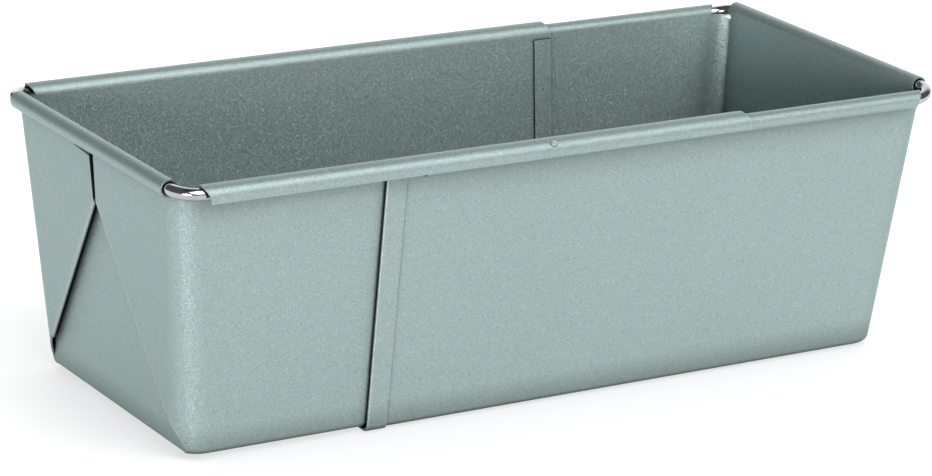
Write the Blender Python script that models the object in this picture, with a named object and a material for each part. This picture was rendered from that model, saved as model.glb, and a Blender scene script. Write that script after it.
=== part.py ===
"""Adjustable loaf pan: two folded sheet halves that slide into each other, each with a wired rim.

Frame: metres, +Z up, +X along the pan towards the outer half's end wall.
The origin is the middle of the footprint, on the surface that the pan stands on.
"""

import math

import bmesh
import bpy
from mathutils import Matrix, Vector

MM = 0.001

# Sheet and wire stock
SHEET = 0.5 * MM
WIRE_DIAMETER = 3.4 * MM
WIRE_PLAY = 0.3 * MM

# Overall shape, with the pan drawn out as photographed
PAN_HEIGHT = 80.0 * MM
REST_LENGTH = 245.0 * MM
BASE_WIDTH = 85.7 * MM
SIDE_LEAN = math.radians(5.35)
END_LEAN = math.radians(5.05)
BEND_RADIUS = 2.0 * MM
CORNER_RADIUS_BASE = 8.5 * MM
CORNER_RADIUS_RIM = 7.5 * MM

# The two halves and how they telescope
OUTER_REACH = 180.6 * MM
INNER_REACH = 177.2 * MM
CLOSED_LENGTH = 200.0 * MM
SLIDE_PLAY = 0.3 * MM
HEM_WIDTH = 6.0 * MM

# Rolled rims: the inner half's side rims are open hooks that ride over the outer half's
END_RIM_LIFT = 1.4 * MM
SIDE_ROLL_END = math.radians(-100.0)
END_ROLL_END = math.radians(-80.0)
SIDE_ROLL_SETBACK = 10.0 * MM
ROLL_CORNER_GAP = 5.3 * MM
ROLL_LIP_GAP = 7.2 * MM
OUTER_END_ROLL_GAPS = (7.4 * MM, 4.9 * MM)
INNER_END_ROLL_GAPS = (7.2 * MM, 6.8 * MM)
HOOK_LIFT = 0.2 * MM
HOOK_END = math.radians(-24.0)
HOOK_END_CUT = 1.5 * MM

# Rim wires
WIRE_BEND_RADIUS = 6.5 * MM
WIRE_LEG_SPACE = 5.0 * MM

# Envelope folds on the end walls
FLAP_STANDOFF = 1.1 * MM
FOLD_REACH = 3.0 * MM
FOLD_INSIDE = 0.1 * MM
LAYER_GAP = 0.15 * MM
SLIT_WIDTH_APEX = 1.5 * MM
SLIT_WIDTH_RIM = 2.4 * MM
CREASE_TOP_SHARE = 0.9

# How finely curves are drawn
BEND_STEPS = 5
WALL_STEPS = 3
ROLL_STEP = math.radians(12.0)
NOSE_STEPS = 4
CORNER_STEPS = 6
TIP_STEPS = 3
WIRE_BEND_STEPS = 12
WIRE_ROUNDNESS = 6

# A joining tongue is this much thinner than the sheet that it enters, on each face
TONGUE_INSET = 0.02 * MM
TONGUE_REACH = 0.6 * MM
STEP = 0.05 * MM

WIRE_RADIUS = WIRE_DIAMETER / 2
ROLL_INSIDE = WIRE_RADIUS + WIRE_PLAY
ROLL_OUTSIDE = ROLL_INSIDE + SHEET
NEST = SHEET + SLIDE_PLAY

OUTER_FLOOR = SHEET
INNER_FLOOR = OUTER_FLOOR + NEST
END_RIM_Z = PAN_HEIGHT - ROLL_OUTSIDE
RIM_Z = END_RIM_Z - END_RIM_LIFT
RIM_X = REST_LENGTH / 2 - ROLL_OUTSIDE
RIM_Y = BASE_WIDTH / 2 + (RIM_Z - OUTER_FLOOR) * math.tan(SIDE_LEAN) + ROLL_INSIDE / math.cos(SIDE_LEAN)
HOOK_Z = RIM_Z + HOOK_LIFT
HOOK_INSIDE = ROLL_INSIDE + NEST + HOOK_LIFT * math.sin(SIDE_LEAN)
HOOKED_WIRE_Z = HOOK_Z + HOOK_INSIDE - ROLL_INSIDE
FLAP_DEPTH = FLAP_STANDOFF + 2 * SHEET + LAYER_GAP
CREASE_ANGLE = (math.pi / 2 - SIDE_LEAN - END_LEAN) / 2 - SIDE_LEAN

COATING = ("silver_coating", (0.40, 0.47, 0.46, 1.0), 0.42, 0.55)
CHROME = ("chrome_wire", (0.80, 0.81, 0.82, 1.0), 0.12, 1.0)


class Half:
    """One folded half, drawn with its end wall towards +X and its open edge towards -X."""

    def __init__(self, reach, floor, nest, hem_side, end_roll_gaps):
        self.open_x = REST_LENGTH / 2 - reach
        self.floor = floor
        self.nest = nest
        self.hem_side = hem_side
        self.end_roll_gaps = end_roll_gaps
        self.bend_top = floor + BEND_RADIUS * (1 - math.sin(SIDE_LEAN))

    def set_side_roll(self, centre_z, inside, end, start, cut, wire_z):
        """The rolled side rim: its circle, where it ends round the circle and along the pan, and its wire."""
        self.roll_z = centre_z
        self.roll_inside = inside
        self.roll_end = end
        self.roll_start_x = self.open_x + start
        self.roll_cut = cut
        self.wire_z = wire_z

    def side(self, z):
        """Outside face of the side wall, as a distance from the middle plane."""
        at_base = BASE_WIDTH / 2 - self.nest / math.cos(SIDE_LEAN)
        return at_base + (z - OUTER_FLOOR) * math.tan(SIDE_LEAN)

    def end(self, z):
        """Outside face of the end wall, along X."""
        return RIM_X - ROLL_INSIDE / math.cos(END_LEAN) - (END_RIM_Z - z) * math.tan(END_LEAN)

    def flap(self, z):
        """Outside face of the folded flaps, along X."""
        return self.end(z) + FLAP_DEPTH / math.cos(END_LEAN)

    def wire_height(self, turn):
        """Height of the rim wire's axis: turn 0 is along the side, 90 degrees across the end."""
        return self.wire_z + (END_RIM_Z - self.wire_z) * math.sin(turn) ** 2

    def trim(self, turn):
        """Top of the wall where it isn't rolled, just under the wire."""
        return self.wire_height(turn) - ROLL_INSIDE

    def rise(self, z):
        """Share of the wall's height."""
        return (z - self.floor) / (self.trim(math.pi / 2) - self.floor)

    def corner_radius(self, z):
        return CORNER_RADIUS_BASE + self.rise(z) * (CORNER_RADIUS_RIM - CORNER_RADIUS_BASE)

    def corner_point(self, theta, z):
        """Point and outward normal on the rounded corner: theta 0 faces the side, 90 degrees the end."""
        radius = self.corner_radius(z)
        radius_rate = (self.corner_radius(z + MM) - radius) / MM
        across, along = math.cos(theta), math.sin(theta)
        point = Vector((self.flap(z) - radius + radius * along, self.side(z) - radius + radius * across, z))
        slope = (math.tan(END_LEAN) - radius_rate) * along + (math.tan(SIDE_LEAN) - radius_rate) * across
        slope += radius_rate
        return point, Vector((along, across, -slope)).normalized()

    def corner_top(self, theta):
        """Top of the rounded corner: it rises beside the wire where there is room for it."""
        point, _ = self.corner_point(theta, self.trim(theta))
        ahead = point.x - RIM_X + WIRE_BEND_RADIUS
        across = max(0.0, point.y - RIM_Y + WIRE_BEND_RADIUS)
        beside = WIRE_BEND_RADIUS - math.hypot(ahead, across)
        top = self.wire_height(math.atan2(ahead, across)) - math.sqrt(max(0.0, ROLL_INSIDE**2 - beside**2))
        low = self.trim(theta) + 2 * STEP
        return low + max(0.0, top - low) * max(0.0, 1 - (theta / self.tip_angle()) ** 3)

    def bend_point(self, theta, angle):
        """Point and outward normal on the bottom bend: angle -90 degrees lies on the floor."""
        wall, _ = self.corner_point(theta, self.bend_top)
        pull = BEND_RADIUS * (math.cos(SIDE_LEAN) - math.cos(angle))
        outward = Vector((math.sin(theta), math.cos(theta), 0.0))
        point = wall - outward * pull
        point.z = self.floor + BEND_RADIUS * (1 + math.sin(angle))
        normal = outward * math.cos(angle) + Vector((0.0, 0.0, math.sin(angle)))
        return point, normal

    def tip_angle(self):
        """Where the end wall's face meets the rounding of the corner."""
        return math.asin(1 - FLAP_DEPTH / math.cos(END_LEAN) / CORNER_RADIUS_BASE)

    def crease_height(self, y):
        """Height of the flap's diagonal crease at a distance y from the middle plane."""
        corner_y = self.side(self.floor)
        steepness = math.cos(END_LEAN) / math.tan(CREASE_ANGLE)
        steepest = CREASE_TOP_SHARE * (self.trim(math.pi / 2) - self.floor) / corner_y
        return self.floor + (corner_y - y) * min(steepness, steepest)

    def crease_at(self, theta):
        """Height at which the crease crosses a vertical line of the rounded corner."""
        z = self.bend_top
        for _ in range(20):
            z = self.crease_height(self.corner_point(theta, z)[0].y)
        return z

    def slit(self, z):
        """Half the width of the slit between the two flaps."""
        apex = self.crease_height(0.0)
        share = max(0.0, (z - apex) / (self.trim(math.pi / 2) - apex))
        return (SLIT_WIDTH_APEX + share * (SLIT_WIDTH_RIM - SLIT_WIDTH_APEX)) / 2

    def slit_foot(self):
        """Height of the slit's lower end."""
        return self.crease_height(SLIT_WIDTH_APEX / 2)

    def fold_line(self, z):
        """Distance from the middle plane of the vertical fold between inner flap and end wall."""
        return self.side(z) - self.corner_radius(z)

    def crease_foot(self):
        """Height at which the diagonal crease meets the vertical fold."""
        return self.crease_at(math.pi / 2)

    def end_frame(self):
        """Matrix from the end wall's own axes (across, up the wall, outwards) to the half's axes."""
        across = Vector((0.0, 1.0, 0.0))
        up = Vector((math.sin(END_LEAN), 0.0, math.cos(END_LEAN)))
        out = Vector((math.cos(END_LEAN), 0.0, -math.sin(END_LEAN)))
        matrix = Matrix((across, up, out)).transposed().to_4x4()
        matrix.translation = Vector((self.end(self.floor), 0.0, self.floor))
        return matrix

    def height_up(self, z, depth):
        """Distance up the end wall of a point at height z that lies a depth outside its face."""
        return (z - self.floor) / math.cos(END_LEAN) + depth * math.tan(END_LEAN)


def spread(start, stop, steps):
    return [start + (stop - start) * i / steps for i in range(steps + 1)]


def roll_angles(start, stop):
    return spread(start, stop, max(2, round(abs(stop - start) / ROLL_STEP)))


def thick_sheet(outside, inside, cells):
    """Closed mesh of a sheet given by the grids of its two faces and the cells that are present."""
    mesh = bmesh.new()
    corners = sorted({(s + i, k + j) for s, k in cells for i in (0, 1) for j in (0, 1)})
    front = {key: mesh.verts.new(outside[key]) for key in corners}
    back = {key: mesh.verts.new(inside[key]) for key in corners}
    for s, k in sorted(cells):
        loop = [(s, k), (s + 1, k), (s + 1, k + 1), (s, k + 1)]
        mesh.faces.new([front[key] for key in loop])
        mesh.faces.new([back[key] for key in reversed(loop)])
        beside = [(s, k - 1), (s + 1, k), (s, k + 1), (s - 1, k)]
        for i, neighbour in enumerate(beside):
            if neighbour not in cells:
                a, b = loop[i], loop[(i + 1) % 4]
                mesh.faces.new([front[b], front[a], back[a], back[b]])
    bmesh.ops.recalc_face_normals(mesh, faces=mesh.faces)
    return mesh


def nose_depth(distance):
    """Half the thickness of a hem at a distance from its rounded edge."""
    inward = max(0.0, SHEET - distance)
    return max(0.3 * SHEET, math.sqrt(SHEET**2 - inward**2))


def wrap_stations(half):
    """Lines across the sheet, from the open edge, along the sides and round the corners to the slit."""
    hem = (0.0, 0.2 * SHEET, 0.5 * SHEET, SHEET, HEM_WIDTH, HEM_WIDTH + STEP)
    stations = [("side", half.open_x + distance) for distance in hem]
    stations.append(("side", half.open_x + SIDE_ROLL_SETBACK))
    stations.append(("side", half.flap(half.floor) - 2 * CORNER_RADIUS_BASE))
    tip = half.tip_angle()
    stations += [("corner", theta) for theta in spread(0.0, tip, CORNER_STEPS)]
    stations += [("corner", theta) for theta in spread(tip, math.pi / 2, TIP_STEPS)[1:]]
    stations.append(("slit", None))
    return stations


def wrap_rows(half):
    """Lines along the sheet, from the middle of the floor up to the rolled rim."""
    rows = [("floor", None)]
    rows += [("bend", angle) for angle in spread(-math.pi / 2, -SIDE_LEAN, BEND_STEPS)[:-1]]
    rows += [("wall", share) for share in spread(0.0, 1.0, WALL_STEPS)]
    rows.append(("lip", None))
    rows += [("roll", angle) for angle in roll_angles(math.pi - SIDE_LEAN, half.roll_end)]
    return rows


def wall_point(half, place, theta, share):
    """Point and normal on a wall, at a share of the way from its foot or crease up to its top."""
    low, high = half.bend_top, half.trim(theta)
    if place == "slit":
        low = half.slit_foot()
    elif theta > half.tip_angle() + 1e-6:
        low = half.crease_at(theta)
    point, normal = half.corner_point(theta, low + share * (high - low))
    if place == "slit":
        point.y = half.slit(point.z)
    return point, normal


def roll_point(half, angle):
    """Point and normal on the rolled side rim, at its end by the corner, which is cut obliquely."""
    spoke = Vector((0.0, math.cos(angle), math.sin(angle)))
    wall_gap = RIM_X - half.corner_point(0.0, half.roll_z)[0].x
    climbed = min(1.0, (math.pi - SIDE_LEAN - angle) / (math.pi / 2 - SIDE_LEAN))
    fallen = max(0.0, min(1.0, 1 - 2 * angle / math.pi))
    gap = wall_gap + climbed * (ROLL_CORNER_GAP - wall_gap) + fallen * (ROLL_LIP_GAP - ROLL_CORNER_GAP)
    point = Vector((RIM_X - gap, RIM_Y, half.roll_z)) + half.roll_inside * spoke
    return point, -spoke


def wrap_point(half, station, row):
    """Point on the sheet's outside face and its outward normal, on the +Y side."""
    place, along = station
    kind, value = row
    theta = {"side": 0.0, "corner": along, "slit": math.pi / 2}[place]
    if kind == "floor":
        point, normal = half.bend_point(theta, -math.pi / 2)
        point.y = 0.0
    elif kind == "bend":
        point, normal = half.bend_point(theta, value)
    elif kind == "wall":
        point, normal = wall_point(half, place, theta, value)
    elif kind == "lip":
        point, normal = half.corner_point(theta, half.trim(theta) + STEP)
    elif theta > 0.0:
        point, normal = half.corner_point(theta, half.corner_top(theta))
    else:
        point, normal = roll_point(half, value)
    if place == "side":
        point.x = along
        if kind == "roll":
            fade = max(0.0, 1 - (along - half.open_x) / HEM_WIDTH)
            point.x += half.roll_cut * fade * max(0.0, math.sin(value)) ** 2
    return point, normal


def wrap_faces(half, station, row):
    """Depths of the sheet's two faces below its outside surface: a hem doubles it on one side."""
    place, along = station
    distance = along - half.open_x if place == "side" else HEM_WIDTH + STEP
    if distance > HEM_WIDTH + STEP / 2 or row[0] in ("lip", "roll"):
        return 0.0, SHEET
    middle = 0.0 if half.hem_side > 0 else SHEET
    depth = nose_depth(distance)
    return middle - depth, middle + depth


def wrap_cells(half, stations, rows):
    """Which cells of the grid are sheet: the flaps start at their crease, the rolled rims at their ends."""
    wall_row = min(k for k, row in enumerate(rows) if row[0] == "wall")
    top_row = max(k for k, row in enumerate(rows) if row[0] == "wall")
    cells = set()
    for s in range(len(stations) - 1):
        place, along = stations[s]
        next_place, next_along = stations[s + 1]
        past_tip = next_place == "slit" or (next_place == "corner" and next_along > half.tip_angle() + 1e-6)
        rolled = place == "side" and along >= half.roll_start_x - STEP / 2
        low = wall_row if past_tip else 0
        if rolled:
            high = len(rows) - 1
        elif place == "corner" and not past_tip:
            high = top_row + 2
        else:
            high = top_row
        for k in range(low, high):
            cells.add((s, k))
            cells.add((s, -k - 1))
    return cells


def build_wrap(half):
    """Floor, side walls, rounded corners, outer flaps, hem and rolled side rims, as one bent sheet."""
    stations = wrap_stations(half)
    rows = wrap_rows(half)
    outside, inside = {}, {}
    for s, station in enumerate(stations):
        for k, row in enumerate(rows):
            point, normal = wrap_point(half, station, row)
            above, below = wrap_faces(half, station, row)
            for sign in (-1, 1):
                flip = Vector((1.0, sign, 1.0))
                outside[s, sign * k] = (point - normal * above) * flip
                inside[s, sign * k] = (point - normal * below) * flip
    return thick_sheet(outside, inside, wrap_cells(half, stations, rows))


def end_wall_rows(half):
    """Lines across the end wall, from a tongue in the floor up to the end of its rolled rim."""
    rows = [("tongue", None)]
    rows += [("bend", angle) for angle in spread(-math.pi / 2, -END_LEAN, BEND_STEPS)]
    rows.append(("ear", None))
    rows += [("wall", share) for share in spread(0.0, 1.0, WALL_STEPS)]
    rows += [("roll", angle) for angle in roll_angles(math.pi - END_LEAN, END_ROLL_END)]
    return rows


def end_wall_point(half, row):
    """Point and outward normal of the end wall's outside face in the middle plane."""
    kind, value = row
    if kind in ("tongue", "bend"):
        angle = -math.pi / 2 if kind == "tongue" else value
        centre_z = half.floor + BEND_RADIUS
        spoke = Vector((math.cos(angle), 0.0, math.sin(angle)))
        centre = Vector((half.end(centre_z) - BEND_RADIUS / math.cos(END_LEAN), 0.0, centre_z))
        point = centre + BEND_RADIUS * spoke
        if kind == "tongue":
            point.x -= 4 * BEND_RADIUS
        return point, spoke
    if kind == "roll":
        spoke = Vector((math.cos(value), 0.0, math.sin(value)))
        return Vector((RIM_X, 0.0, END_RIM_Z)) + ROLL_INSIDE * spoke, -spoke
    foot = half.crease_foot()
    z = foot - LAYER_GAP if kind == "ear" else foot + value * (half.trim(math.pi / 2) - foot)
    return Vector((half.end(z), 0.0, z)), Vector((math.cos(END_LEAN), 0.0, -math.sin(END_LEAN)))


def end_wall_width(half, row, point, side):
    """Half the width of the end wall: up to the corner's sheet at its foot, then up to the folds."""
    if row[0] == "roll":
        return RIM_Y - half.end_roll_gaps[side]
    if row[0] == "wall":
        return half.fold_line(point.z) + FOLD_REACH
    z = max(point.z, half.bend_top)
    radius = half.corner_radius(z)
    middle = radius - SHEET / 2
    if point.z < half.bend_top:
        sine = (point.z - half.floor - BEND_RADIUS) / BEND_RADIUS
        middle -= BEND_RADIUS * (math.cos(SIDE_LEAN) - math.sqrt(max(0.0, 1 - sine**2)))
    ahead = max(0.0, min(point.x - half.flap(z) + radius, middle))
    return half.side(z) - radius + math.sqrt(middle**2 - ahead**2)


def fold_ring(half, z, sign):
    """Points round the vertical fold, from the end wall back to the inner flap, on both faces of the sheet."""
    frame = half.end_frame()
    fold = Vector((sign * half.fold_line(z), half.height_up(z, 0.0), 0.0))
    tip = fold + Vector((sign * FOLD_REACH, 0.0, FOLD_INSIDE))
    slope = math.atan2(FLAP_STANDOFF - 2 * FOLD_INSIDE, FOLD_REACH)
    ring = []
    for angle in spread(-math.pi / 2, math.pi / 2 - slope, NOSE_STEPS)[1:]:
        spoke = Vector((sign * math.cos(angle), 0.0, math.sin(angle)))
        ring.append((frame @ (tip + spoke * FOLD_INSIDE), frame @ (tip + spoke * (FOLD_INSIDE + SHEET))))
    foot = fold + Vector((0.0, 0.0, FLAP_STANDOFF))
    ring.append((frame @ foot, frame @ (foot + Vector((0.0, 0.0, SHEET)))))
    return ring


def build_end_wall(half):
    """End wall with its bottom bend and rolled rim, its vertical folds and the two inner flap layers."""
    rows = end_wall_rows(half)
    frame = half.end_frame()
    slit_column = 3 + NOSE_STEPS
    outside, inside, cells = {}, {}, set()
    for k, row in enumerate(rows):
        point, normal = end_wall_point(half, row)
        inset = TONGUE_INSET if k < 2 else 0.0
        for sign in (-1, 0, 1):
            shift = Vector((0.0, sign * end_wall_width(half, row, point, max(0, sign)), 0.0))
            outside[sign, k] = point - normal * inset + shift
            inside[sign, k] = point - normal * (SHEET - inset) + shift
        if k < len(rows) - 1:
            cells |= {(-1, k), (0, k)}
        if row[0] != "wall":
            continue
        low = half.slit_foot()
        edge_z = low + row[1] * (half.trim(math.pi / 2) - low)
        for sign in (-1, 1):
            for i, (inner_face, outer_face) in enumerate(fold_ring(half, point.z, sign)):
                outside[sign * (2 + i), k] = inner_face
                inside[sign * (2 + i), k] = outer_face
            edge = Vector((sign * half.slit(edge_z), half.height_up(edge_z, 0.0), FLAP_STANDOFF))
            outside[sign * slit_column, k] = frame @ edge
            inside[sign * slit_column, k] = frame @ (edge + Vector((0.0, 0.0, SHEET)))
        if row[1] < 1.0:
            cells |= {(s, k) for s in range(1, slit_column)}
            cells |= {(s, k) for s in range(-slit_column, -1)}
    return thick_sheet(outside, inside, cells)


def crease_chain(radius, inset):
    """Section of one face of the diagonal fold: reach beyond the crease, and depth off the end wall."""
    level = FLAP_STANDOFF + SHEET + LAYER_GAP / 2
    turn = spread(math.pi / 2, -math.pi / 2, 2 * NOSE_STEPS)
    chain = [(leg, level + radius + inset) for leg in (-TONGUE_REACH, 0.0)]
    chain += [(STEP + radius * math.cos(angle), level + radius * math.sin(angle)) for angle in turn]
    chain += [(leg, level - radius - inset) for leg in (0.0, -TONGUE_REACH)]
    return chain


def build_crease(half, sign):
    """Rounded diagonal fold that joins the outer and the inner layer of one flap."""
    frame = half.end_frame()
    level = FLAP_STANDOFF + SHEET + LAYER_GAP / 2
    foot, top = half.crease_foot(), half.slit_foot()
    start = Vector((half.fold_line(foot), half.height_up(foot, level), 0.0))
    stop = Vector((half.slit(top), half.height_up(top, level), 0.0))
    along = (stop - start).normalized()
    away = Vector((-abs(along.y), -abs(along.x), 0.0))
    chains = (crease_chain(LAYER_GAP / 2 + SHEET, -TONGUE_INSET), crease_chain(LAYER_GAP / 2, TONGUE_INSET))
    grids = ({}, {})
    for grid, chain in zip(grids, chains):
        for k, (distance, depth) in enumerate(chain):
            for s, across in enumerate((start.x - STEP, stop.x + TONGUE_INSET)):
                point = start + away * distance
                point += along * ((across - point.x) / along.x)
                grid[s, k] = frame @ Vector((sign * point.x, point.y, depth))
    return thick_sheet(grids[0], grids[1], {(0, k) for k in range(len(chains[0]) - 1)})


def new_object(name, mesh):
    data = bpy.data.meshes.new(name)
    mesh.to_mesh(data)
    mesh.free()
    obj = bpy.data.objects.new(name, data)
    bpy.context.scene.collection.objects.link(obj)
    return obj


def unite(body, others):
    """Join overlapping solids into one closed body."""
    for other in others:
        joint = body.modifiers.new(other.name, "BOOLEAN")
        joint.operation = "UNION"
        joint.solver = "EXACT"
        joint.object = other
    bpy.context.view_layer.update()
    evaluated = body.evaluated_get(bpy.context.evaluated_depsgraph_get())
    joined = bpy.data.meshes.new_from_object(evaluated)
    body.modifiers.clear()
    body.data = joined
    for other in others:
        bpy.data.objects.remove(other)


def material(name, colour, roughness, metallic):
    made = bpy.data.materials.new(name)
    made.use_nodes = True
    shader = made.node_tree.nodes["Principled BSDF"]
    shader.inputs["Base Color"].default_value = colour
    shader.inputs["Roughness"].default_value = roughness
    shader.inputs["Metallic"].default_value = metallic
    return made


def finish(obj, coat):
    obj.data.materials.clear()
    obj.data.materials.append(coat)
    obj.data.shade_smooth()
    obj.data.set_sharp_from_angle(angle=math.radians(30.0))


def folded_half(name, half, turned):
    """One half as a single folded solid; the inner half is turned to face -X."""
    body = new_object(name, build_wrap(half))
    parts = [new_object(f"{name}_end", build_end_wall(half))]
    parts += [new_object(f"{name}_crease_{sign}", build_crease(half, sign)) for sign in (-1, 1)]
    unite(body, parts)
    if turned:
        body.data.transform(Matrix.Rotation(math.pi, 4, "Z"))
    return body


def rim_wire(name, half, leg, turned):
    """U-shaped wire: along one side, round the corner, across the end in its rolled rim, and back."""
    corner_x = RIM_X - WIRE_BEND_RADIUS
    corner_y = RIM_Y - WIRE_BEND_RADIUS
    path = [Vector((corner_x - leg, -RIM_Y, half.wire_z))]
    for turn in spread(0.0, math.pi / 2, WIRE_BEND_STEPS):
        x = corner_x + WIRE_BEND_RADIUS * math.sin(turn)
        y = -corner_y - WIRE_BEND_RADIUS * math.cos(turn)
        path.append(Vector((x, y, half.wire_height(turn))))
    path += [point * Vector((1.0, -1.0, 1.0)) for point in reversed(path)]
    sign = -1.0 if turned else 1.0
    curve = bpy.data.curves.new(name, "CURVE")
    curve.dimensions = "3D"
    curve.bevel_depth = WIRE_RADIUS
    curve.bevel_resolution = WIRE_ROUNDNESS
    curve.use_fill_caps = True
    spline = curve.splines.new("POLY")
    spline.points.add(len(path) - 1)
    for place, point in zip(spline.points, path):
        place.co = (sign * point.x, sign * point.y, point.z, 1.0)
    obj = bpy.data.objects.new(name, curve)
    bpy.context.scene.collection.objects.link(obj)
    return obj


def main():
    for obj in list(bpy.data.objects):
        bpy.data.objects.remove(obj)

    coating = material(*COATING)
    chrome = material(*CHROME)

    outer = Half(OUTER_REACH, OUTER_FLOOR, 0.0, 1, OUTER_END_ROLL_GAPS)
    outer.set_side_roll(RIM_Z, ROLL_INSIDE, SIDE_ROLL_END, SIDE_ROLL_SETBACK, 0.0, RIM_Z)
    inner = Half(INNER_REACH, INNER_FLOOR, NEST, -1, INNER_END_ROLL_GAPS)
    inner.set_side_roll(HOOK_Z, HOOK_INSIDE, HOOK_END, 0.0, HOOK_END_CUT, HOOKED_WIRE_Z)

    outer_body = folded_half("outer_half", outer, False)
    inner_body = folded_half("inner_half", inner, True)
    finish(outer_body, coating)
    finish(inner_body, coating)

    # The outer wire's legs stop short of the open ends of the rolls that hold them. The inner wire's
    # stop short of those rolls when the pan is pushed closed.
    bend_start = RIM_X - WIRE_BEND_RADIUS
    outer_leg = bend_start - outer.roll_start_x - WIRE_LEG_SPACE
    inner_leg = bend_start - (REST_LENGTH - CLOSED_LENGTH) + outer.roll_start_x - WIRE_LEG_SPACE
    outer_wire = rim_wire("outer_rim_wire", outer, outer_leg, False)
    inner_wire = rim_wire("inner_rim_wire", inner, inner_leg, True)
    outer_wire.data.materials.append(chrome)
    inner_wire.data.materials.append(chrome)

    # The inner half and its wire move together along X.
    slide = bpy.data.objects.new("slide", None)
    bpy.context.scene.collection.objects.link(slide)
    for piece in (inner_body, inner_wire):
        piece.parent = slide


main()
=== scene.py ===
"""Looks of the adjustable loaf pan: coated sheet, plated wire, floor, light and camera."""

import math

import bpy
from mathutils import Matrix, Vector

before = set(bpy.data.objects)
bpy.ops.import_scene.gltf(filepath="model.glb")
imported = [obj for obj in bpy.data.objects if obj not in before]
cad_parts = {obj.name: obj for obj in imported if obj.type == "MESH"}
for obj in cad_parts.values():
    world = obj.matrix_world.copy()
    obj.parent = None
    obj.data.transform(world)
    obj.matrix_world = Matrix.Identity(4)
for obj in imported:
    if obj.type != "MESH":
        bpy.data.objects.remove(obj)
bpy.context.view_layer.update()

# Camera: place in metres, directions in degrees, lens and sensor in mm, near limit in metres
CAMERA_PLACE = (-0.5687, -0.9132, 0.3811)
CAMERA_TURN = 31.81
CAMERA_DROP = 17.85
CAMERA_ROLL = 2.22
LENS = 154.5
SENSOR = 36.0
CAMERA_NEAR = 0.05

# Coated sheet: colours of the grain, of bare spots and painted highlights on edges and folds, and of the sheen, how
# rough the smoothest and the dullest spot is, how much of it is metal, and its refraction
COATING = (0.266, 0.335, 0.330)
COATING_DARK = (0.220, 0.280, 0.275)
COATING_LIGHT = (0.322, 0.402, 0.395)
BARE_STEEL_AND_HIGHLIGHT = (0.430, 0.460, 0.460)
SHEEN = (0.80, 0.97, 0.97)
COATING_ROUGHNESS = (0.35, 0.53)
COATING_METAL = 0.6
COATING_IOR = 1.5

# Noise on the sheet: how many to the metre, detail and roughness
GRAIN = (2600.0, 2.0, 0.6)
SPECKS = (1430.0, 1.0, 0.5)
CLOUDS = (16.0, 3.0, 0.5)
WAVES = (34.0, 2.0, 0.5)
FLAKES_PER_METRE = 3380.0

# Colour or tone for values of that noise, and strength and height of the waves
GRAIN_COLOURS = ((0.30, COATING_DARK), (0.5, COATING), (0.70, COATING_LIGHT))
SPECK_TONES = ((0.24, 0.88), (0.32, 1.0))
CLOUD_TONES = ((0.3, 0.965), (0.7, 1.0))
WAVE_STRENGTH = 0.12
WAVE_HEIGHT = 0.0006

# Tilt of the flakes on the walls and on the rims, and the heights between which it changes
FLAKE_TILT = 0.30
RIM_TILT = 0.10
RIM_FOOT = (0.0745, 0.0765)

# Edges that bend more than this stay sharp, packed corners closer than this are one, and large faces lead a bend by
# this much
SHARP_ANGLE = math.radians(38)
SAME_CORNER = 0.000002
FACE_AREA_WEIGHT = 80

# Below, a soft limit is a pair: where it starts to count, and where it counts in full. Lengths are in metres.

# Bright edges and folds, rubbed wear and painted highlight on edges and painted highlight on creases and hems: width
# of an edge, how much shows for how flat it still is, how much shows on a fold, and the soft limits of half its width
# at a crease and at a hem
EDGE_RADIUS = 0.0003
EDGE_TONES = ((0.80, 0.38), (0.97, 0.0))
FOLD_HIGHLIGHT = 0.5
CREASE_HIGHLIGHT = (0.0005, 0.0003)
HEM_HIGHLIGHT = (0.0004, 0.0002)

# End walls: lean, distance out of the flaps' faces and of the nearest and farthest surface in a seam with painted
# shade
END_LEAN = math.radians(5.05)
FLAP_FACE = (0.1116, 0.1120)
SEAM_BACK = (0.1104, 0.1106)
SEAM_FRONT = (0.1135, 0.1133)

# Creases of the flaps: height where the two meet and fall to each metre sideways
CREASE_TOP = 0.0624
CREASE_STEEPNESS = 1.452

# Slit between the flaps: half width at its foot, widening to each metre up, foot and top
SLIT_HALF = (0.00088, 0.00082)
SLIT_WIDENING = 0.0333
SLIT_FOOT = (0.0612, 0.0616)
SLIT_TOP = (0.0752, 0.0750)

# Gap between one flap and the rolled rim: lower edge at the middle, rise to each metre sideways, top and both ends
GAP_FOOT = (0.0732, 0.0734)
GAP_RISE = 0.090
GAP_TOP = (0.0754, 0.0752)
GAP_START = (0.0003, 0.0006)
GAP_END = (0.0107, 0.0105)

# Painted shade in the slit and the gap
PAINTED_SEAM_SHADE = (0.010, 0.013, 0.013)

# Shading of crevices: reach, and the tone for each share that is open
CREVICES = (
    (0.0100, ((0.14, 0.04), (0.45, 0.50), (0.80, 0.78), (0.98, 1.0))),
    (0.0012, ((0.60, 0.20), (0.88, 1.0))),
)
CREVICE_SAMPLES = 8

# Folded open edge of each half along X
HEMS = {"outer_half": -0.0581, "inner_half": 0.0547}

# Pressed mark in the middle of the side hooks: place, half sizes, soft limit as a share of those, depth
MARK_PLACE = (-0.0095, 0.0543, 0.0785)
MARK_SIZE = (0.0013, 0.0012, 0.0010)
MARK_EDGE = (1.0, 0.6)
MARK_DEPTH = 0.0003

# Plated wire: noise and colours of its spots, how rough the brightest and the dullest are, noise of the drawing marks
# and their strength and height
SPOTS = (160.0, 4.0, 0.5)
SPOT_COLOURS = ((0.32, (0.37, 0.38, 0.39)), (0.52, (0.45, 0.46, 0.47)), (0.8, (0.52, 0.53, 0.54)))
CHROME_ROUGHNESS = (0.05, 0.20)
MARKS = (900.0, 3.0, 0.5)
MARKS_STRENGTH = 0.08
MARKS_HEIGHT = 0.00005

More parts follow.
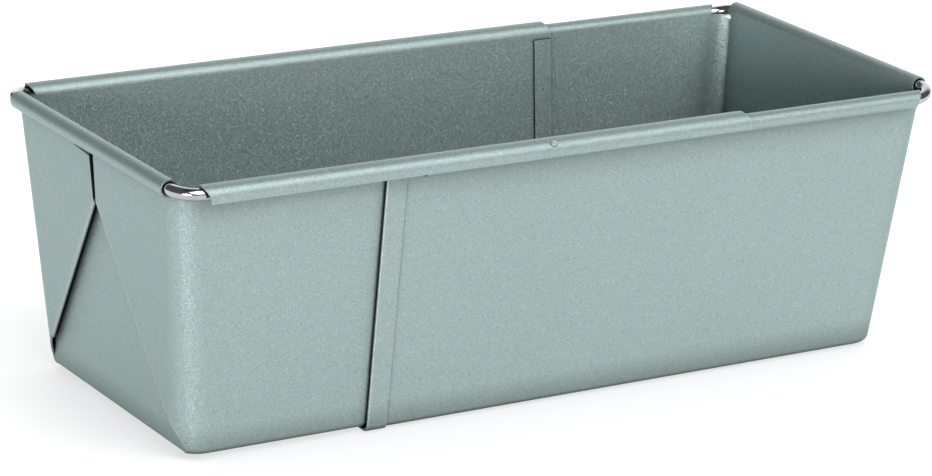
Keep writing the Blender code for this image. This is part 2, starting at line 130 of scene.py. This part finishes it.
# Floor: half its side, level, colour, glow, and its tone for each share that is open near the pan
FLOOR_REACH = 6.0
FLOOR_LEVEL = -0.0002
FLOOR = (0.30, 0.30, 0.30)
FLOOR_GLOW = 0.92
FLOOR_ROUGHNESS = 0.8
SHADE_REACH = 0.09
SHADE_SAMPLES = 16
FLOOR_SHADE = ((0.45, (0.745, 0.760, 0.760)), (1.0, (1.0, 1.0, 1.0)))

# Studio: even light, its least share, and the soft lights. Each has its direction, the angles in degrees from it
# where it is full and gone, and its strength. The last one darkens a patch overhead.
AMBIENT = 0.13
LEAST_AMBIENT = 0.1
SOFT_LIGHTS = (
    ((0.10, -0.67, 0.74), 12, 36, 5.0),
    ((0.60, 0.75, 0.30), 16, 42, 1.3),
    ((-0.62, -0.64, 0.01), 3, 18, 31.0),
    ((-0.16, -0.26, 0.95), 4, 18, -2.4),
)

# Grid that nodes are laid out in: nodes in a column, and the space for each
GRID_ROWS = 8
GRID_SPACE = (200, 260)


def grey(value):
    return (value, value, value)


def greys(tones):
    """Ramp stops for (position, tone) pairs."""
    return [(position, grey(tone)) for position, tone in tones]


def feed(tree, socket, value):
    """Links an input to a socket, or sets it to a value."""
    if isinstance(value, bpy.types.NodeSocket):
        tree.links.new(value, socket)
    else:
        socket.default_value = value


def node(tree, kind, **inputs):
    """A node with some of its inputs fed, laid out in a grid in the order that nodes are made."""
    column, row = divmod(len(tree.nodes), GRID_ROWS)
    made = tree.nodes.new(kind)
    made.location = (column * GRID_SPACE[0], -row * GRID_SPACE[1])
    for name, value in inputs.items():
        feed(tree, made.inputs[name.replace("_", " ")], value)
    return made


def calc(tree, operation, *values):
    """A sum on sockets or numbers."""
    made = node(tree, "ShaderNodeMath")
    made.operation = operation
    for socket, value in zip(made.inputs, values):
        feed(tree, socket, value)
    return made.outputs["Value"]


def vector_calc(tree, operation, *values):
    """A sum on vectors. It gives a number where the operation does."""
    made = node(tree, "ShaderNodeVectorMath")
    made.operation = operation
    for socket, value in zip(made.inputs, values):
        feed(tree, socket, value)
    return made.outputs["Value" if operation in ("DOT_PRODUCT", "LENGTH") else "Vector"]


def parts(tree, place):
    """X, Y and Z of a place."""
    return tuple(node(tree, "ShaderNodeSeparateXYZ", Vector=place).outputs)


def step(tree, value, low, high, top=1.0):
    """0 at low, top at high, smooth between them. Low may be the larger one, which turns it round."""
    made = node(tree, "ShaderNodeMapRange", Value=value, From_Min=low, From_Max=high, To_Max=top)
    made.interpolation_type = "SMOOTHSTEP"
    return made.outputs["Result"]


def within(tree, limits):
    """1 where every value is past its soft limit."""
    total = 1.0
    for value, limit in limits:
        total = calc(tree, "MULTIPLY", step(tree, value, *limit), total)
    return total


def scaled(tree, value, low, high):
    """A value from 0 to 1 brought between low and high."""
    return node(tree, "ShaderNodeMapRange", Value=value, To_Min=low, To_Max=high).outputs["Result"]


def noise(tree, place, scale, detail, roughness):
    made = node(tree, "ShaderNodeTexNoise", Vector=place, Scale=scale, Detail=detail, Roughness=roughness)
    return made.outputs["Fac"]


def ramp(tree, value, stops):
    """Colour of a value on a ramp of (position, colour) stops."""
    made = node(tree, "ShaderNodeValToRGB", Fac=value)
    elements = made.color_ramp.elements
    while len(elements) < len(stops):
        elements.new(0.5)
    for element, (position, colour) in zip(elements, stops):
        element.position = position
        element.color = (*colour, 1.0)
    return made.outputs["Color"]


def mixed(tree, share, first, second, blend="MIX"):
    """A mix of two colours."""
    made = node(tree, "ShaderNodeMix")
    made.data_type = "RGBA"
    made.blend_type = blend
    for name, value in (("Factor_Float", share), ("A_Color", first), ("B_Color", second)):
        feed(tree, next(s for s in made.inputs if s.identifier == name), value)
    return next(s for s in made.outputs if s.identifier == "Result_Color")


def bump(tree, height, strength, distance, **normal):
    """Normal of a surface with this height, on top of Normal where that is given."""
    made = node(tree, "ShaderNodeBump", Height=height, Strength=strength, Distance=distance, **normal)
    return made.outputs["Normal"]


def openness(tree, reach, samples):
    """How open a spot is within reach: 1 in the open, 0 deep in a crevice."""
    made = node(tree, "ShaderNodeAmbientOcclusion", Distance=reach)
    made.samples = samples
    return made.outputs["AO"]


def seams(tree, place, hem):
    """Where a half gets a painted highlight along its folds, and where painted shade darkens the slit and the gap of
    its end wall.
    """
    x, y, z = parts(tree, place)
    side = calc(tree, "ABSOLUTE", y)
    out = calc(tree, "MULTIPLY", calc(tree, "ABSOLUTE", x), math.cos(END_LEAN))
    level = calc(tree, "SUBTRACT", out, calc(tree, "MULTIPLY", z, math.sin(END_LEAN)))

    # Painted highlight along the rounded crease of each flap and along the hem
    crease_height = calc(tree, "SUBTRACT", CREASE_TOP, calc(tree, "MULTIPLY", side, CREASE_STEEPNESS))
    below = calc(tree, "SUBTRACT", crease_height, z)
    edges = (-width * math.hypot(1.0, CREASE_STEEPNESS) for width in CREASE_HIGHLIGHT)
    crease = calc(tree, "MULTIPLY", step(tree, below, *edges), step(tree, level, *FLAP_FACE))
    from_hem = calc(tree, "ABSOLUTE", calc(tree, "SUBTRACT", x, hem))
    highlighted_folds = calc(tree, "MAXIMUM", crease, step(tree, from_hem, *HEM_HIGHLIGHT))

    # Painted shade in the slit between the flaps and in the gap under the rolled rim
    widening = calc(tree, "MULTIPLY", calc(tree, "SUBTRACT", z, CREASE_TOP), -SLIT_WIDENING)
    from_slit = calc(tree, "ADD", side, widening)
    slit = within(tree, ((from_slit, SLIT_HALF), (z, SLIT_FOOT), (z, SLIT_TOP), (level, SEAM_BACK)))
    gap_height = calc(tree, "SUBTRACT", z, calc(tree, "MULTIPLY", side, GAP_RISE))
    gap = within(tree, (
        (y, GAP_START),
        (side, GAP_END),
        (gap_height, GAP_FOOT),
        (z, GAP_TOP),
        (level, SEAM_BACK),
        (level, SEAM_FRONT),
    ))
    return highlighted_folds, calc(tree, "MAXIMUM", slit, gap)


def mark(tree, place):
    """The small pressed mark on the side hooks: 1 in its middle, 0 outside it."""
    x, y, z = parts(tree, place)
    either_side = node(tree, "ShaderNodeCombineXYZ", X=x, Y=calc(tree, "ABSOLUTE", y), Z=z).outputs["Vector"]
    away = vector_calc(tree, "DIVIDE", vector_calc(tree, "SUBTRACT", either_side, MARK_PLACE), MARK_SIZE)
    return step(tree, vector_calc(tree, "LENGTH", away), *MARK_EDGE)


def material(name):
    """A new material, its node tree and its shader."""
    made = bpy.data.materials.new(name)
    made.use_nodes = True
    return made, made.node_tree, made.node_tree.nodes["Principled BSDF"]


def coating(name, hem):
    """Satin coating with a fine metallic grain, bright along its edges from wear and a painted highlight, with
    painted highlights along its creases and hem, and painted shade in its crevices, its slit and its gap.
    """
    made, tree, shader = material(name)
    place = node(tree, "ShaderNodeTexCoord").outputs["Object"]

    grain = noise(tree, place, *GRAIN)
    colour = ramp(tree, grain, GRAIN_COLOURS)
    for pattern, tones in ((CLOUDS, CLOUD_TONES), (SPECKS, SPECK_TONES)):
        colour = mixed(tree, 1.0, colour, ramp(tree, noise(tree, place, *pattern), greys(tones)), "MULTIPLY")

    # Edges: partly rubbed wear, partly a painted highlight on the rounded bends
    rounded = node(tree, "ShaderNodeBevel", Radius=EDGE_RADIUS).outputs["Normal"]
    plain = node(tree, "ShaderNodeNewGeometry").outputs["Normal"]
    edges = ramp(tree, vector_calc(tree, "DOT_PRODUCT", rounded, plain), greys(EDGE_TONES))
    fold_highlights, painted_shade = seams(tree, place, hem)
    wear_and_highlight = calc(tree, "MAXIMUM", edges, calc(tree, "MULTIPLY", fold_highlights, FOLD_HIGHLIGHT))
    # Bright steel where edges are worn and where a highlight is painted on edges, creases and the hem
    colour = mixed(tree, wear_and_highlight, colour, (*BARE_STEEL_AND_HIGHLIGHT, 1.0))
    for reach, tones in CREVICES:
        shade = ramp(tree, openness(tree, reach, CREVICE_SAMPLES), greys(tones))
        colour = mixed(tree, 1.0, colour, shade, "MULTIPLY")
    # Painted shade in the slit and the gap
    colour = mixed(tree, painted_shade, colour, (*PAINTED_SEAM_SHADE, 1.0))

    normal = bump(tree, noise(tree, place, *WAVES), WAVE_STRENGTH, WAVE_HEIGHT)
    unpressed = calc(tree, "SUBTRACT", 1.0, mark(tree, place))
    normal = bump(tree, unpressed, 1.0, MARK_DEPTH, Normal=normal)
    flakes = node(tree, "ShaderNodeTexVoronoi", Vector=place, Scale=FLAKES_PER_METRE).outputs["Color"]
    tilt = vector_calc(tree, "SUBTRACT", flakes, grey(0.5))
    rim = step(tree, parts(tree, place)[2], *RIM_FOOT)
    amount = calc(tree, "MULTIPLY_ADD", rim, RIM_TILT - FLAKE_TILT, FLAKE_TILT)
    normal = vector_calc(tree, "NORMALIZE", vector_calc(tree, "MULTIPLY_ADD", tilt, amount, normal))

    feed(tree, shader.inputs["Base Color"], colour)
    feed(tree, shader.inputs["Roughness"], scaled(tree, grain, *COATING_ROUGHNESS))
    feed(tree, shader.inputs["Normal"], normal)
    shader.inputs["Metallic"].default_value = COATING_METAL
    shader.inputs["IOR"].default_value = COATING_IOR
    shader.inputs["Specular Tint"].default_value = (*SHEEN, 1.0)
    return made


def chrome():
    """Bright plated wire with faint drawing marks and a few dull spots."""
    made, tree, shader = material("bright_chrome")
    place = node(tree, "ShaderNodeTexCoord").outputs["Object"]
    spots = noise(tree, place, *SPOTS)
    marks = noise(tree, place, *MARKS)
    feed(tree, shader.inputs["Base Color"], ramp(tree, spots, SPOT_COLOURS))
    feed(tree, shader.inputs["Roughness"], scaled(tree, spots, *CHROME_ROUGHNESS))
    feed(tree, shader.inputs["Normal"], bump(tree, marks, MARKS_STRENGTH, MARKS_HEIGHT))
    shader.inputs["Metallic"].default_value = 1.0
    return made


def smoother():
    """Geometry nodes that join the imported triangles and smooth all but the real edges."""
    tree = bpy.data.node_groups.new("smooth_bends", "GeometryNodeTree")
    tree.interface.new_socket("Geometry", in_out="INPUT", socket_type="NodeSocketGeometry")
    tree.interface.new_socket("Geometry", in_out="OUTPUT", socket_type="NodeSocketGeometry")
    source = node(tree, "NodeGroupInput").outputs[0]
    plain = node(tree, "GeometryNodeRemoveAttribute", Geometry=source, Name="custom_normal").outputs[0]
    joined = node(tree, "GeometryNodeMergeByDistance", Geometry=plain, Distance=SAME_CORNER).outputs[0]
    smooth = node(tree, "GeometryNodeSetShadeSmooth", Geometry=joined)
    smooth.domain = "FACE"
    angle = node(tree, "GeometryNodeInputMeshEdgeAngle").outputs["Unsigned Angle"]
    bent = node(tree, "FunctionNodeCompare", A=angle, B=SHARP_ANGLE)
    bent.data_type = "FLOAT"
    bent.operation = "GREATER_THAN"
    flat = node(tree, "FunctionNodeBooleanMath")
    flat.operation = "NOT"
    tree.links.new(bent.outputs[0], flat.inputs[0])
    sharp = node(tree, "GeometryNodeSetShadeSmooth", Geometry=smooth.outputs[0], Shade_Smooth=flat.outputs[0])
    sharp.domain = "EDGE"
    result = node(tree, "NodeGroupOutput")
    tree.links.new(sharp.outputs[0], result.inputs[0])
    return tree


def dress(name, finish, tree):
    """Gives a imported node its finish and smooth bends."""
    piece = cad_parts[name]
    piece.data.materials.clear()
    piece.data.materials.append(finish)
    smooth = piece.modifiers.new("smooth_bends", "NODES")
    smooth.node_group = tree
    weighted = piece.modifiers.new("weighted_normals", "WEIGHTED_NORMAL")
    weighted.mode = "FACE_AREA"
    weighted.weight = FACE_AREA_WEIGHT
    weighted.keep_sharp = True


def camera():
    """Camera fitted to the edges in the photo."""
    turn, drop, roll = (math.radians(a) for a in (CAMERA_TURN, CAMERA_DROP, CAMERA_ROLL))
    ahead = Vector((math.sin(turn) * math.cos(drop), math.cos(turn) * math.cos(drop), -math.sin(drop)))
    right = Vector((math.cos(turn), -math.sin(turn), 0.0))
    up = right.cross(ahead)
    rolled_right = right * math.cos(roll) + up * math.sin(roll)
    rolled_up = up * math.cos(roll) - right * math.sin(roll)
    data = bpy.data.cameras.new("camera")
    data.lens = LENS
    data.sensor_width = SENSOR
    data.clip_start = CAMERA_NEAR
    made = bpy.data.objects.new("camera", data)
    turned = Matrix((rolled_right, rolled_up, -ahead)).transposed().to_4x4()
    made.matrix_world = Matrix.Translation(CAMERA_PLACE) @ turned
    bpy.context.scene.collection.objects.link(made)
    bpy.context.scene.camera = made


def floor():
    """Pale floor, shaded near the pan."""
    finish, tree, shader = material("white_floor")
    shade = ramp(tree, openness(tree, SHADE_REACH, SHADE_SAMPLES), FLOOR_SHADE)
    feed(tree, shader.inputs["Base Color"], mixed(tree, 1.0, shade, (*FLOOR, 1.0), "MULTIPLY"))
    feed(tree, shader.inputs["Emission Color"], shade)
    shader.inputs["Emission Strength"].default_value = FLOOR_GLOW
    shader.inputs["Roughness"].default_value = FLOOR_ROUGHNESS
    shader.inputs["Specular IOR Level"].default_value = 0.0

    mesh = bpy.data.meshes.new("floor")
    corners = [(x * FLOOR_REACH, y * FLOOR_REACH, FLOOR_LEVEL) for x, y in ((-1, -1), (1, -1), (1, 1), (-1, 1))]
    mesh.from_pydata(corners, [], [(0, 1, 2, 3)])
    mesh.materials.append(finish)
    made = bpy.data.objects.new("floor", mesh)
    bpy.context.scene.collection.objects.link(made)


def sky():
    """Dim studio surroundings with the soft lights in them."""
    world = bpy.data.worlds.new("studio")
    bpy.context.scene.world = world
    world.use_nodes = True
    tree = world.node_tree
    direction = node(tree, "ShaderNodeTexCoord").outputs["Generated"]
    total = 0.0
    for axis, full, gone, strength in SOFT_LIGHTS:
        toward = vector_calc(tree, "DOT_PRODUCT", direction, Vector(axis).normalized())
        limits = (math.cos(math.radians(angle)) for angle in (gone, full))
        total = calc(tree, "ADD", step(tree, toward, *limits, strength), total)
    total = calc(tree, "MAXIMUM", total, (LEAST_AMBIENT - 1.0) * AMBIENT)
    background = tree.nodes["Background"]
    background.inputs["Color"].default_value = (1.0, 1.0, 1.0, 1.0)
    feed(tree, background.inputs["Strength"], calc(tree, "ADD", total, AMBIENT))


camera()
floor()
sky()

wire_finish = chrome()
smooth_bends = smoother()
for half, hem in HEMS.items():
    dress(half, coating(half + "_coating", hem), smooth_bends)
for wire in ("outer_rim_wire", "inner_rim_wire"):
    dress(wire, wire_finish, smooth_bends)

bpy.context.scene.view_settings.view_transform = "Standard"
